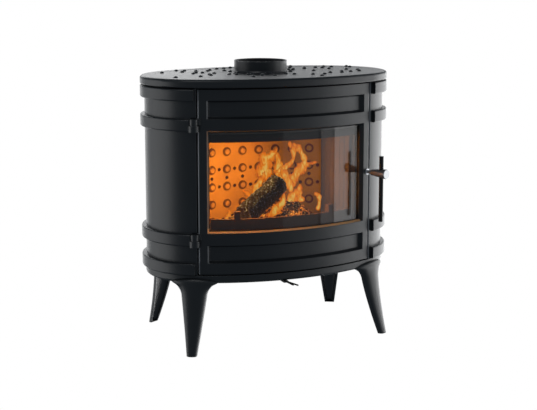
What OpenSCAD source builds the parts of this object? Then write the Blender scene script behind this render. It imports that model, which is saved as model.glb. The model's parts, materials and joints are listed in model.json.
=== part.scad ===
// Oval cast-iron wood stove on four splayed legs, with a curved glass door.
// Millimetres, +Z up, the front faces -Y, origin on the floor under the middle of the body.
// The plan is a four-arc oval: two wide arcs (front, back) and two tight arcs (ends),
// which meet on four joint planes where the castings of the body meet too.

/* [Body plan] */
// Width of the body over its plain walls
body_w = 698; // [660:1:740]
// Depth of the body over its plain walls
body_d = 406; // [390:1:430]
// Radius of the front and back faces
face_r = 600; // [560:5:680]
// Thickness of the cast body walls
wall = 8; // [6:0.5:11]
// Depth of the upright flanges where the castings meet
flange_d = 44; // [44:1:52]

/* [Heights] */
// Floor to the underside of the base
leg_h = 190; // [160:1:230]
// Height of the base casting
base_h = 22; // [20:1:28]
// Height of the body walls
body_h = 506; // [500:1:540]
// Height of the top plate's rim
top_h = 23; // [20:0.5:28]
// Shadow gap between the walls and the top plate
top_gap = 1.5; // [1:0.1:3]

/* [Bands] */
// How far the raised bands stand out
band_out = 12; // [6:0.5:15]
// Height of one raised band
band_h = 33; // [26:1:36]
// Clear height between the two bands of a pair
band_space = 48; // [40:1:56]
// Rounding of the band edges
band_round = 4; // [1:0.5:5]

/* [Door] */
// Running gap round the door
door_gap = 2.5; // [1.5:0.1:3.5]
// Thickness of the door casting
door_t = 26; // [24:0.5:28]
// Rounding of the upright door edges
door_round = 6; // [3:0.5:8]
// Width of the stile beside the window and the recessed panels, from the body's joint
stile_w = 25.3; // [23.5:0.1:35]
// Bottom of the window above the base
window_z = 115; // [112:1:120]
// Height of the window
window_h = 278; // [250:1:282]
// Height of the recessed panel below the window
low_panel_h = 49; // [35:1:52]
// Height of the recessed panel above the window
high_panel_h = 50; // [35:1:52]
// Rail left between a panel and the window
rail_h = 33; // [30:1:38]
// Depth of the recessed panels and of the glass behind the face
recess_d = 12; // [8:0.5:13]
// Draft of the cast recess walls, in degrees
draft = 25; // [10:1:35]
// Thickness of the glass
glass_t = 4; // [3:0.5:5]
// Cover of the frame over the upper and lower edge of the glass
glass_cover = 9; // [6:0.5:10]
// Width of the square packing that seals the door
rope_w = 5; // [4:0.1:5.2]

/* [Hinges] */
// How far the hinge axis stands outside the face
hinge_out = 8; // [6:0.5:10]
// How far the hinge axis stands beside the joint plane
hinge_side = 5.6; // [4:0.1:7]
// Diameter of the hinge pins
pin_d = 8; // [6:0.5:9]
// Diameter of the lower, body half of a hinge barrel
barrel_body_d = 29; // [25:0.5:31]
// Diameter of the upper, door half of a hinge barrel
barrel_door_d = 22.6; // [19:0.5:24]
// Height of a hinge barrel
barrel_h = 35; // [30:1:40]
// Thickness of the washer between the barrel halves
washer_t = 1; // [0.6:0.1:1.5]

/* [Handle] */
// Handle shaft above the base
handle_z = 254; // [235:1:275]
// Distance of the handle shaft inside the door's free edge
handle_in = 10.2; // [9.6:0.1:11]
// Diameter of the handle shaft
shaft_d = 10; // [8:0.5:10.5]
// Distance of the hand bar from the face
bar_out = 52; // [45:0.5:60]
// Diameter of the hand bar
bar_d = 12.6; // [10:0.2:14]
// Length of the hand bar above the shaft
bar_up = 49; // [35:1:60]
// Length of the hand bar below the shaft
bar_down = 136; // [110:1:150]
// Diameter of the end cap
cap_d = 27; // [24:0.5:30]
// Thickness of the end cap
cap_t = 11; // [7:0.5:13]
// Length of the latch tongue from the shaft axis
tongue_l = 25; // [23:0.5:27]

/* [Legs] */
// Direction of the legs from the X axis, in degrees
leg_deg = 61; // [55:0.5:63]
// Width of a leg at the floor
foot_w = 29; // [24:1:36]
// Depth of a leg at the floor
foot_d = 14; // [13:0.5:18]
// Width of a leg under its shoulders
knee_w = 70; // [60:1:80]
// Depth of a leg under its shoulders
knee_d = 20; // [18:0.5:26]
// Height of the concave shoulders
shoulder_h = 38; // [24:1:44]
// Spread of one shoulder
shoulder_w = 36; // [20:1:40]
// How far a leg stands outside the body wall under its shoulders
leg_proud = 14; // [10:0.5:16]
// How much further the foot stands out
splay = 39; // [25:1:45]
// Height of a leg's head in front of the base rim
head_h = 15; // [8:1:18]
// Wall of the hollow legs
leg_wall = 5; // [4:0.5:6]

/* [Top and flue] */
// How far the top plate overhangs the plain walls
top_over = 12; // [8:0.5:15]
// Rounding of the top plate's edge
top_round = 8; // [4:0.5:9]
// Outer diameter of the flue spigot
flue_d = 150; // [125:1:160]
// Wall of the flue spigot
flue_wall = 4; // [3:0.5:6]
// Height of the flue spigot above the top plate
flue_h = 31; // [24:1:45]
// Distance of the flue behind the middle of the body
flue_y = 40; // [20:1:50]
// Number of places tried for the cast studs on the top
stud_n = 150; // [40:1:160]
// Choice among the scatters of the studs
stud_seed = 11; // [1:1:60]
// Diameter of a cast stud
stud_d = 12.4; // [7:0.1:14]
// Height of a cast stud
stud_h = 4.6; // [2:0.1:5]

/* [Firebox] */
// Height of the hearth above the base
hearth_z = 88; // [84:1:92]
// Thickness of the hearth casting
hearth_t = 10; // [8:0.5:12]
// Front face of the fire back behind the middle of the body
back_y = 120; // [105:1:128]
// Thickness of the fire back
back_t = 10; // [8:0.5:13]
// Height of the fire back and the side liners
lining_h = 290; // [285:1:300]
// From the body's joint in to the fire side of the liners
lining_in = 44.8; // [43.5:0.1:52]
// Thickness of the side liners
liner_t = 10; // [7:0.5:12]
// Diameter of a boss on the fire back
boss_d = 26; // [18:1:30]
// Height of a boss on the fire back
boss_h = 7; // [4:0.5:9]
// Pitch of the bosses
boss_pitch = 51; // [40:1:54]
// Diameter of the air holes between the bosses
air_d = 7; // [4:0.5:9]
// Thickness of the inner front casting
frame_t = 12; // [9:0.5:13]
// Height of the log retainer
retainer_h = 57; // [40:1:65]
// Height of the retainer's posts
post_h = 77; // [68:1:90]
// Distance of a post from the middle
post_x = 140; // [110:1:160]
// Diameter of the burning log
log_d = 61; // [45:1:66]

/* [Ash pan and air slide] */
// Half width of the ash pan
pan_x = 150; // [130:1:152]
// Height of the ash pan
pan_h = 50; // [40:1:54]
// Sheet thickness of the ash pan
sheet = 2; // [1.2:0.1:3]
// Height of the runners under the ash pan
runner_h = 10; // [8:0.5:12]
// Width of one air slot in the base
slot_w = 16; // [10:1:18]
// Pitch of the air slots
slot_pitch = 42; // [40:1:46]
// Thickness of the air slide
slide_t = 4; // [3:0.5:5]

/* [Hidden] */

$fn = 48;
$in = 0;
seat = 0.3;        // play where one casting drops in beside another
glass_side = 5;    // cover of the frame over the side edges of the glass
running = 0.05;    // radial play of a shaft or pin in its bore
lap = 1;           // how far a cutting shape reaches past what it cuts

// Plan of the oval: centres and radii of its arcs, and where they meet.
half_w = body_w / 2;
half_d = body_d / 2;
face_y = face_r - half_d;
end_r = (face_r * face_r - face_y * face_y - half_w * half_w) / (2 * (face_r - half_w));
end_x = half_w - end_r;
joint_deg = atan(end_x / face_y);
joint_x = face_r * sin(joint_deg);
window_x = joint_x - stile_w;      // half width of the window, on the face
lining_x = joint_x - lining_in;

// Levels, from the floor up.
base_top = leg_h + base_h;
body_top = base_top + body_h;
plate_z = body_top + top_gap;
top_z = plate_z + top_h;
hearth_top = base_top + hearth_z;
lining_top = hearth_top + lining_h;
window_bottom = base_top + window_z;
window_top = window_bottom + window_h;
low_panel_z = window_bottom - rail_h - low_panel_h;
high_panel_z = window_top + rail_h - 2;
shaft_z = base_top + handle_z;
band_levels = [base_top + band_round / 4, base_top + band_h + band_space,
    body_top - 2 * band_h - band_space, body_top - band_h - band_round / 4];
hinge_levels = [band_levels[1] + band_h / 2, band_levels[2] + band_h / 2];

// Radial layers of the door and of the casting behind it, inward from the face.
door_back = -door_t;
glass_front = -recess_d - 1.5;
glass_back = glass_front - glass_t;
rope_deep = 2.5;
frame_front = door_back - rope_w + rope_deep - seat;
frame_back = frame_front - frame_t;

// Angles on the face, seen from the centre of the front arc.
function face_deg(x, off = 0) = asin(x / (face_r + off));
door_deg = joint_deg - asin(door_gap / face_r);
handle_deg = door_deg - asin(handle_in / face_r);
window_deg = face_deg(window_x);
clear_deg = window_deg - asin(recess_d * tan(draft) / (face_r - recess_d));
glass_deg = clear_deg + asin(glass_side / (face_r + glass_front));
pocket_deg = glass_deg + asin(0.6 / face_r);
rope_in_deg = pocket_deg + asin(1.2 / face_r);
rope_deg = rope_in_deg + asin(rope_w / face_r);
hinge_deg = joint_deg + asin(hinge_side / face_r);
mouth_deg = clear_deg + 0.3;

// Draws 2-D children ([offset from the plain wall, height]) swept along one arc of the oval.
module front_arc(half_deg) {
    translate([0, face_y, 0]) rotate([0, 0, -90 - half_deg])
        rotate_extrude(angle = 2 * half_deg, $fn = 200) translate([face_r, 0]) children();
}
module back_arc(half_deg) { rotate([0, 0, 180]) front_arc(half_deg) children(); }
module end_arc(half_deg = 90 - joint_deg) {
    translate([end_x, 0, 0]) rotate([0, 0, -half_deg])
        rotate_extrude(angle = 2 * half_deg, $fn = 120) translate([end_r, 0]) children();
}
// All round the oval. The end arcs run on under the wide arcs, drawn smaller by $in, so that
// no two surfaces lie on one another there.
module oval_ring() {
    front_arc(joint_deg) children();
    back_arc(joint_deg) children();
    for (m = [0, 1]) mirror([m, 0, 0]) let ($in = 0.1) end_arc(92 - joint_deg) children();
}

// Points on the oval, offset inward, for the plates inside a rim.
function arc_points(cx, cy, r, from, to, n) =
    [for (i = [0 : n - 1]) let (a = from + (to - from) * i / n) [cx + r * cos(a), cy + r * sin(a)]];
function oval_points(off) = concat(
    arc_points(0, face_y, face_r + off, 270 - joint_deg, 270 + joint_deg, 8),
    arc_points(end_x, 0, end_r + off, joint_deg - 90, 90 - joint_deg, 12),
    arc_points(0, -face_y, face_r + off, 90 - joint_deg, 90 + joint_deg, 8),
    arc_points(-end_x, 0, end_r + off, 90 + joint_deg, 270 - joint_deg, 12));

// Places children on the face: local -Y points out of the stove, local X runs along the face.
module at_face(deg, off, z) {
    translate([(face_r + off) * sin(deg), face_y - (face_r + off) * cos(deg), z])
        rotate([0, 0, deg]) children();
}
// The same, turned so that local +Z points out of the stove and local +Y points up.
module at_shaft(z = shaft_z) { at_face(handle_deg, 0, z) rotate([90, 0, 0]) children(); }

module box2d(x0, x1, z0, z1) { translate([x0, z0]) square([x1 - x0, z1 - z0]); }
module round_box2d(x0, x1, z0, z1, r) {
    box2d(x0, x1, z0 + r, z1 - r);
    box2d(x0, x1 - r, z0, z1);
    for (z = [z0 + r, z1 - r]) translate([x1 - r, z]) circle(r);
}
// Section of a rim, rounded at its outer edges.
module rim2d(x0, x1, z0, z1, r_low, r_high) {
    box2d(x0 + $in, x1 - $in, z0 + r_low, z1 - r_high);
    box2d(x0 + $in, x1 - r_low, z0 + $in, z0 + r_low);
    box2d(x0 + $in, x1 - r_high, z1 - r_high, z1 - $in);
    translate([x1 - r_low, z0 + r_low]) circle(r_low - $in);
    translate([x1 - r_high, z1 - r_high]) circle(r_high - $in);
}
module ring(r_out, r_in, h) {
    difference() {
        cylinder(r = r_out, h = h);
        translate([0, 0, -lap]) cylinder(r = r_in, h = h + 2 * lap);
    }
}
// Part of a sphere, standing on z = 0 with its foot sunk a little.
module dome(d, h) {
    foot = d / 2;
    r = (foot * foot + h * h) / (2 * h);
    intersection() {
        translate([0, 0, h - r]) rotate([90, 0, 0]) sphere(r);
        translate([0, 0, -0.5]) cylinder(r = 2 * foot, h = h + 1);
    }
}
module screw(d, length, head_d, head_h) {
    translate([0, 0, -length]) cylinder(d = d, h = length);
    cylinder(d = head_d, h = head_h, $fn = 6);
}

iron = [0.16, 0.17, 0.18];
dark_iron = [0.10, 0.10, 0.11];
steel = [0.72, 0.72, 0.73];

// ---------------------------------------------------------------- base and legs
lip_out = 2;       // base rim outside the plain wall
lip_in = 40;       // base rim inside the plain wall
base_plate_t = 10; // floor of the base
base_round = 7;    // rounding of the rim's lower edge
slots = [-1, 0, 1];
slot_y = -118;     // middle of the air slots
slot_l = 44;       // length of an air slot
tie_at = [[-1, -1], [1, -1], [-1, 1], [1, 1]];
tie_x = 276;       // tie rods, from the middle
tie_y = 62;
tie_d = 10;
leg_bolt_in = 22;  // leg bolt behind the body wall
leg_bolt_d = 10;
pad_t = 9;         // seat of a leg under the base rim
pad_step = 0.1;    // height in which the hollow closes under the pad

module at_leg(side) {
    mirror([side[0] < 0 ? 1 : 0, 0, 0]) mirror([0, side[1] > 0 ? 1 : 0, 0])
        translate([end_x, 0, 0]) rotate([0, 0, -leg_deg]) translate([end_r, 0, 0]) children();
}

module base_plate() {
    color(iron) difference() {
        union() {
            oval_ring() rim2d(-lip_in, lip_out, leg_h, base_top, base_round, 1.5);
            translate([0, 0, base_top - base_plate_t]) linear_extrude(base_plate_t - 1)
                polygon(oval_points(-lip_in / 2));
            for (side = [-1, 1]) translate([side * runner_x - runner_w / 2, pan_front + 12, base_top - 2])
                cube([runner_w, pan_back - pan_front - 24, runner_h + 2]);
        }
        for (i = slots) translate([i * slot_pitch - slot_w / 2, slot_y - slot_l / 2, leg_h])
            cube([slot_w, slot_l, base_h + lap]);
        for (at = tie_at) translate([at[0] * tie_x, at[1] * tie_y, leg_h])
            cylinder(d = tie_d + 2 * seat, h = base_h + lap);
        for (side = tie_at) at_leg(side) translate([-leg_bolt_in, 0, leg_h - lap])
            cylinder(d = leg_bolt_d + 2 * seat, h = leg_bolt_deep + lap);
    }
}
leg_bolt_deep = 15; // reach of a leg bolt into the rim

// A leg is a hollow casting, open towards the stove's middle. Its sections follow the oval
// wall; its head leans against the rim of the base, its pad is bolted under the rim.
knee_z = leg_h - shoulder_h;
joint_off = 90 - joint_deg - leg_deg;
head_half = knee_w / 2 + shoulder_w;
pad_half = 30;     // half width of the bolted pad
pad_back = 46;     // its depth behind the wall
function leg_half(z) = z <= knee_z ? (foot_w + (knee_w - foot_w) * z / knee_z) / 2
    : z <= leg_h ? knee_w / 2 + shoulder_w * (1 - sqrt(1 - pow((z - knee_z) / shoulder_h, 2)))
    : head_half * sqrt(1 - pow((z - leg_h) / head_h, 2));
function leg_out(z) = z <= leg_h ? leg_proud + splay * pow(1 - z / leg_h, 1.5)
    : 4 + (leg_proud - 4) * sqrt(1 - pow((z - leg_h) / head_h, 2));
function leg_deep(z) = foot_d + (knee_d - foot_d) * min(1, z / knee_z);
// How far the body wall falls back from the tangent at the leg, y along the wall.
function wall_drop(y) = y > -end_r * sin(joint_off) ? end_r - sqrt(end_r * end_r - y * y)
    : let (c = face_r - end_r, cy = c * sin(joint_off))
      end_r + c * cos(joint_off) - sqrt(face_r * face_r - (y - cy) * (y - cy));
function bend(v) = sign(v) * pow(abs(v), 0.77);
leg_steps = [for (i = [-6 : 6]) i * 15];
function leg_section(z, solid) =
    let (half = leg_half(z), deep = leg_deep(z), out = leg_out(z),
        hollow = leg_half(max(0, z - leg_wall)) - leg_wall)
    concat(
        [for (a = leg_steps) let (y = half * bend(sin(a)))
            [out - wall_drop(y) - deep * (1 - bend(cos(a))), y, z]],
        [for (i = [len(leg_steps) - 1 : -1 : 0]) let (a = leg_steps[i])
            solid ? [-pad_back + 4 * (1 - cos(a)), min(pad_half, 0.9 * half) * sin(a), z]
            : let (y = hollow * bend(sin(a)))
              [out - wall_drop(y) - deep + (deep - leg_wall) * bend(cos(a)), y, z]]);
pad_z = leg_h - pad_t;
leg_levels = concat([for (i = [0 : 7]) [knee_z * i / 7, false]],
    [for (i = [1 : 5]) let (z = knee_z + shoulder_h * sin(i * 15)) if (z < pad_z - 1) [z, false]],
    [[pad_z, false], [pad_z + pad_step, true]],
    [for (i = [1 : 5]) let (z = knee_z + shoulder_h * sin(i * 15)) if (z > pad_z + 1) [z, true]],
    [for (i = [1 : 6]) [leg_h + head_h * sin(i * 12), true]]);

module leg() {
    n = 2 * len(leg_steps);
    last = len(leg_levels) - 1;
    polyhedron(
        points = [for (at = leg_levels) each leg_section(at[0], at[1])],
        faces = concat(
            [[for (k = [0 : n - 1]) k]],
            [[for (k = [n - 1 : -1 : 0]) last * n + k]],
            [for (i = [0 : last - 1]) for (k = [0 : n - 1])
                let (a = i * n + k, b = i * n + (k + 1) % n) each
                [[a, a + n, b + n], [a, b + n, b]]]));
}
// One leg, with room for the rim and the bolt.
module fitted_leg(side) {
    color(iron) difference() {
        at_leg(side) leg();
        translate([0, 0, leg_h]) linear_extrude(2 * head_h) polygon(oval_points(lip_out + 1));
        at_leg(side) translate([-leg_bolt_in, 0, pad_z - lap])
            cylinder(d = leg_bolt_d + 2 * seat, h = pad_t + 2 * lap);
    }
}
module leg_front_left() { fitted_leg([-1, -1]); }
module leg_front_right() { fitted_leg([1, -1]); }
module leg_rear_left() { fitted_leg([-1, 1]); }
module leg_rear_right() { fitted_leg([1, 1]); }
module leg_bolts() {
    color(steel) for (side = tie_at) at_leg(side)
        translate([-leg_bolt_in, 0, pad_z]) mirror([0, 0, 1])
            screw(leg_bolt_d, pad_t + leg_bolt_deep - lap, 17, 7);
}

// ---------------------------------------------------------------- body castings
module bands2d() {
    for (z = band_levels) round_box2d(-wall / 2, band_out, z, z + band_h, band_round);
}
band_front = 6;        // the bands end this much before the door
band_rear = 2;         // and before the back casting
// One end of the body with its four bands, hollowed between the flanges on both joint planes.
flange_deg = asin(wall / end_r);    // angle over one flange, seen from the end arc's centre
module side_casting() {
    turn = asin((band_front - band_rear) / 2 / end_r);
    difference() {
        union() {
            end_arc() box2d(-flange_d, 0, base_top, body_top);
            translate([end_x, 0, 0]) rotate([0, 0, turn]) translate([-end_x, 0, 0])
                end_arc(90 - joint_deg - asin((band_front + band_rear) / 2 / end_r)) bands2d();
        }
        end_arc(90 - joint_deg - flange_deg) box2d(-flange_d - lap, -wall, base_top - lap, body_top + lap);
    }
}
module barrel(z, d, h) { at_face(-hinge_deg, hinge_out, z) cylinder(d = d, h = h); }
module pin_bore(z, h) { barrel(z, pin_d + 2 * running, h); }
knuckle_play = 0.8;    // free height above and below a knuckle
knuckle_h = barrel_h / 2;
pin_blind = 3;         // closed ends of the barrel

module side_left() {
    color(iron) difference() {
        union() {
            difference() {
                mirror([1, 0, 0]) side_casting();
                for (z = hinge_levels) {
                    barrel(z - seat, barrel_door_d + 2 * knuckle_play, knuckle_h + knuckle_play + seat);
                    at_face(-hinge_deg, hinge_out, z - seat) translate([-0.5, 0, 0])
                        cube([hinge_side + lap, hinge_out + lug_in + 1, knuckle_h + knuckle_play + seat]);
                }
            }
            for (z = hinge_levels) barrel(z - knuckle_h, barrel_body_d, knuckle_h);
        }
        for (z = hinge_levels) pin_bore(z - knuckle_h + pin_blind, knuckle_h);
    }
}
lug_in = 8;            // lug of a door knuckle behind the face

module side_right() {
    color(iron) difference() {
        side_casting();
        // Slot that the latch tongue turns into.
        at_keeper() keeper_slot();
    }
}
module back_panel() {
    color(iron) back_arc(joint_deg) {
        box2d(-wall, 0, base_top, body_top);
        bands2d();
    }
}

// Inner front casting: it seals against the door and frames the fire and the ash pan.
mouth_low = hearth_top;
mouth_drop = 20;       // the mouth ends this much below the baffle
mouth_high = lining_top - mouth_drop;
pan_mouth_h = pan_h + 10;
sill_z = base_top + runner_h;
module front_frame() {
    color(dark_iron) difference() {
        union() {
            front_arc(joint_deg) box2d(frame_back, frame_front, base_top, body_top);
            latch_box(box_wall, frame_back - box_deep - box_wall, frame_back + lap);
        }
        front_arc(mouth_deg) box2d(frame_back - lap, frame_front + lap, mouth_low, mouth_high);
        translate([-pan_x - 6, face_y - face_r, sill_z]) cube([2 * pan_x + 12, half_d, pan_mouth_h]);
        // Pocket for the latch tongue, outside the packing.
        latch_box(0, frame_back - box_deep, frame_front + lap);
    }
}
box_wall = 4;          // walls of the box behind the latch
box_deep = 5;          // its depth behind the casting
// The block round the turning tongue, let out by its walls, or the hollow inside it.
module latch_box(grow, from, to) {
    hub = shaft_d / 2 + hub_wall + 0.5;
    intersection() {
        at_shaft() translate([-hub - grow, -tongue_l - 2 - grow, from])
            cube([2 * tongue_l, tongue_l + 12 + 2 * grow, to - from]);
        front_arc(joint_deg) box2d(frame_back - 40, lap, base_top, body_top);
    }
}

// ---------------------------------------------------------------- top plate and flue
top_plate_t = 12;      // thickness inside the rim
top_rim = 26;          // width of the rim
top_dip = 0.3;         // the field inside the rim lies this much lower
bead_in = 6;           // seat bead on the walls
flue_clear = flue_d / 2 + 12;
collar_ledge = 10;     // inner ledge of the flue collar
collar_ledge_t = 6;
collar_bolt_r = flue_d / 2 - flue_wall - collar_ledge / 2;

stud_reach = end_x + end_r - flue_clear;    // from the flue to the rim
stud_draw = rands(0, 1, 2 * stud_n + 2, stud_seed);

// Places are drawn at random, densest round the flue.
function stud_at(i) = let (a = 360 * stud_draw[2 * i], out = pow(stud_draw[2 * i + 1], 1.4),
    r = flue_clear + stud_reach * out) [r * cos(a), flue_y + 0.66 * r * sin(a)];
function in_oval(p, off) = let (x = abs(p[0]), y = abs(p[1]))
    x * face_y > (y + face_y) * end_x
        ? norm([x - end_x, y]) < end_r + off : norm([x, y + face_y]) < face_r + off;

// A stud is cast where it stays clear of the flue, the rim and the studs before it.
function stud_fits(i) = let (p = stud_at(i))
    norm([p[0], p[1] - flue_y]) > flue_clear && in_oval(p, -1.6 * stud_d)
    && len([for (k = [1 : 1 : i - 1]) if (norm(p - stud_at(k)) < 1.25 * stud_d) k]) == 0;

module seat_bead() { box2d(-wall + $in, -wall + bead_in - $in, body_top + $in, plate_z + lap); }
module top_lip() { box2d(-wall - bead_in, -wall - seat, body_top - 9, plate_z + lap); }
module top_plate() {
    color(iron) difference() {
        union() {
            oval_ring() rim2d(-top_rim, top_over, plate_z, top_z, top_round / 2, top_round);
            oval_ring() seat_bead();
            back_arc(joint_deg - 1) top_lip();
            for (m = [0, 1]) mirror([m, 0, 0]) end_arc(84 - joint_deg) top_lip();
            translate([0, 0, top_z - top_plate_t]) linear_extrude(top_plate_t - top_dip)
                polygon(oval_points(-top_rim / 2));
            for (i = [1 : stud_n]) let (p = stud_at(i))
                if (stud_fits(i)) translate([p[0], p[1], top_z - top_dip]) dome(stud_d, stud_h, $fn = 24);
            for (at = tie_at) translate([at[0] * tie_x, at[1] * tie_y, body_top - 12])
                cylinder(d = tie_d + 12, h = plate_z + top_h - body_top + 8);
        }
        translate([0, flue_y, body_top]) cylinder(d = flue_d - 2 * flue_wall - 2 * collar_ledge,
            h = top_h + top_gap + lap);
        for (a = [30, 150, 270]) translate([0, flue_y, top_z - 8]) rotate([0, 0, a])
            translate([collar_bolt_r, 0, 0]) cylinder(d = 6 + 2 * seat, h = 8 + lap);
        for (at = tie_at) translate([at[0] * tie_x, at[1] * tie_y, body_top - 12 - lap])
            cylinder(d = tie_d + 2 * seat, h = 18 + lap);
    }
}
module flue_collar() {
    r = flue_d / 2;
    flare = 2.5;
    color(iron) translate([0, flue_y, top_z - top_dip]) difference() {
        union() {
            cylinder(r = r, h = flue_h + top_dip);
            cylinder(r1 = r + flare, r2 = r, h = 2 * flare);
        }
        translate([0, 0, collar_ledge_t]) cylinder(r = r - flue_wall, h = flue_h);
        translate([0, 0, -lap]) cylinder(r = r - flue_wall - collar_ledge, h = flue_h);
        for (a = [30, 150, 270]) rotate([0, 0, a]) translate([collar_bolt_r, 0, -lap])
            cylinder(d = 6 + 2 * seat, h = collar_ledge_t + 2 * lap);
    }
}
module collar_bolts() {
    color(steel) translate([0, flue_y, top_z - top_dip + collar_ledge_t]) for (a = [30, 150, 270])
        rotate([0, 0, a]) translate([collar_bolt_r, 0, 0]) screw(6, collar_ledge_t + 7, 9, 4);
}
module tie_rods() {
    color(steel) for (at = tie_at) translate([at[0] * tie_x, at[1] * tie_y, base_top - base_plate_t])
        mirror([0, 0, 1]) screw(tie_d, body_h + base_plate_t + 5, 17, 7);
}

// ---------------------------------------------------------------- firebox
inner_r = face_y + back_y;      // radius of the fire back's front face
back_deg = asin((lining_x - 0.7) / (inner_r + back_t));
boss_rows = 4;
boss_cols = floor(2 * lining_x / boss_pitch);
boss_low = hearth_top + 51;
boss_deg = boss_pitch / inner_r * 180 / PI;

// Places children on the fire back's front face, local +Z towards the fire.
module on_back(deg, z) {
    translate([0, -face_y, z]) rotate([0, 0, -deg]) translate([0, inner_r, 0])
        rotate([90, 0, 0]) children();
}
module fire_back() {
    color(dark_iron) difference() {
        union() {
            translate([0, -face_y, 0]) rotate([0, 0, 90 - back_deg]) rotate_extrude(angle = 2 * back_deg)
                translate([inner_r, hearth_top]) square([back_t, lining_h]);
            for (row = [0 : boss_rows - 1]) for (col = [0 : boss_cols - 1])
                on_back((col - (boss_cols - 1) / 2) * boss_deg, boss_low + row * boss_pitch)
                    dome(boss_d, boss_h);
        }
        // Air holes between the bosses of the two middle rows, and between those rows.
        for (row = [1, 2]) for (col = [0 : boss_cols - 2])
            on_back((col - (boss_cols - 2) / 2) * boss_deg, boss_low + row * boss_pitch) air_hole();
        for (col = [0 : boss_cols - 1])
            on_back((col - (boss_cols - 1) / 2) * boss_deg, boss_low + 1.5 * boss_pitch) air_hole();
    }
}
module air_hole() { translate([0, 0, -back_t - lap]) cylinder(d = air_d, h = back_t + 2 * lap); }

liner_back = -face_y + sqrt(pow(inner_r + back_t, 2) - pow(lining_x, 2));
liner_front = face_y - sqrt(pow(face_r + frame_back, 2) - pow(lining_x + liner_t, 2)) + 12;
module liner() {
    difference() {
        translate([lining_x, liner_front, hearth_top])
            cube([liner_t, liner_back - liner_front, lining_h]);
        // Shallow upright flutes on the fire side.
        for (i = [1 : 5]) translate([lining_x, liner_front + (liner_back - liner_front) * i / 6,
            hearth_top + 30]) cylinder(d = 6, h = lining_h - 60);
    }
}
module liner_right() { color(dark_iron) liner(); }
module liner_left() { color(dark_iron) mirror([1, 0, 0]) liner(); }
module baffle_plate() {
    color(dark_iron) translate([0, 0, lining_top]) linear_extrude(back_t) intersection() {
        translate([-lining_x - liner_t, -72]) square([2 * (lining_x + liner_t), 260]);
        translate([0, -face_y]) circle(inner_r + back_t, $fn = 128);
    }
}

// Hearth: a floor for the fire on two walls beside the ash pan, with a seat for the grate.
grate_w = 210;
grate_d = 130;
grate_y = -10;
grate_ledge = 7;
hearth_wall_x = 178;
hearth_wall_y = 100;
module hearth_plate() {
    hearth_back = back_y + back_t + 6;
    color(dark_iron) difference() {
        intersection() {
            union() {
                translate([-lining_x - liner_t - 4, -half_d, hearth_top - hearth_t])
                    cube([2 * (lining_x + liner_t + 4), half_d + hearth_back, hearth_t]);
                for (side = [-1, 1]) translate([side * hearth_wall_x - wall / 2, -half_d, base_top])
                    cube([wall, half_d + hearth_wall_y, hearth_z - lap]);
                translate([-hearth_wall_x, hearth_wall_y - wall, base_top])
                    cube([2 * hearth_wall_x, wall, hearth_z - lap]);
            }
            translate([0, face_y, base_top - lap])
                cylinder(r = face_r + frame_back - seat, h = hearth_z + 2 * lap, $fn = 128);
        }
        translate([-grate_w / 2 - seat, grate_y - grate_d / 2 - seat, hearth_top - hearth_t / 2])
            cube([grate_w + 2 * seat, grate_d + 2 * seat, hearth_t]);
        translate([-grate_w / 2 + grate_ledge, grate_y - grate_d / 2 + grate_ledge,
            hearth_top - hearth_t - lap])
            cube([grate_w - 2 * grate_ledge, grate_d - 2 * grate_ledge, hearth_t]);
    }
}
module fire_grate() {
    bars = 11;
    pitch = (grate_w - 20) / bars;
    color(dark_iron) difference() {
        translate([-grate_w / 2, grate_y - grate_d / 2, hearth_top - hearth_t / 2])
            cube([grate_w, grate_d, hearth_t / 2]);
        for (i = [0 : bars - 1]) translate([(i - (bars - 1) / 2) * pitch - pitch / 4,
            grate_y - grate_d / 2 + 14, hearth_top - hearth_t])
            cube([pitch / 2, grate_d - 28, 2 * hearth_t]);
    }
}

retainer_front = frame_back - 4;
retainer_t = 7;
post_w = 17;
module log_retainer() {
    post_deg = asin(post_x / (face_r + retainer_front));
    arc_deg = asin((lining_x - 3) / (face_r + retainer_front));
    color(dark_iron) {
        front_arc(arc_deg) box2d(retainer_front - retainer_t, retainer_front,
            hearth_top, hearth_top + retainer_h);
        for (side = [-1, 1]) at_face(side * post_deg, retainer_front, hearth_top)
            translate([-post_w / 2, 0, 0]) cube([post_w, retainer_t + 8, post_h]);
    }
}

// The log lies askew, its low end left, on a heap of embers.
log_low = [-100, -62, hearth_top + 44];
log_turn = 24;      // degrees, from the X axis towards the back
log_tilt = 23.5;    // degrees, up to the right
log_l = 186;
module along_log() {
    translate(log_low) rotate([0, 0, log_turn]) rotate([0, 90 - log_tilt, 0]) children();
}
module firewood_log() {
    color([0.07, 0.06, 0.055]) along_log() cylinder(d = log_d, h = log_l);
}
ember_y = -8;
ember_heap = [62, 104, 24, 80];    // place, foot, top and height of the heap on the right
ember_low = [-68, 100, 60, 34];    // and of the lower one on the left
ember_floor = [0, 118, 96, 26];    // and of the layer between
module ember_bed() {
    color([0.35, 0.12, 0.05]) difference() {
        for (heap = [ember_floor, ember_heap, ember_low])
            translate([heap[0], heap == ember_low ? ember_y - 10 : ember_y, hearth_top])
                cylinder(r1 = heap[1], r2 = heap[2], h = heap[3]);
        along_log() translate([0, 0, -seat]) cylinder(d = log_d + 2 * seat, h = 2 * log_l);
    }
}

// ---------------------------------------------------------------- ash pan and air slide
pan_front = -148;
pan_back = 88;
runner_x = 105;
runner_w = 12;
pan_z = base_top + runner_h;
module ash_pan() {
    color([0.30, 0.31, 0.32]) {
        difference() {
            translate([-pan_x, pan_front, pan_z]) cube([2 * pan_x, pan_back - pan_front, pan_h]);
            translate([-pan_x + sheet, pan_front + sheet, pan_z + sheet])
                cube([2 * (pan_x - sheet), pan_back - pan_front - 2 * sheet, pan_h]);
        }
        translate([0, pan_front, pan_z + pan_h / 2]) rotate([90, 0, 0]) {
            cylinder(d = 8, h = 9);
            translate([0, 0, 7]) cylinder(d = 18, h = 7);
        }
    }
}

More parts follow.
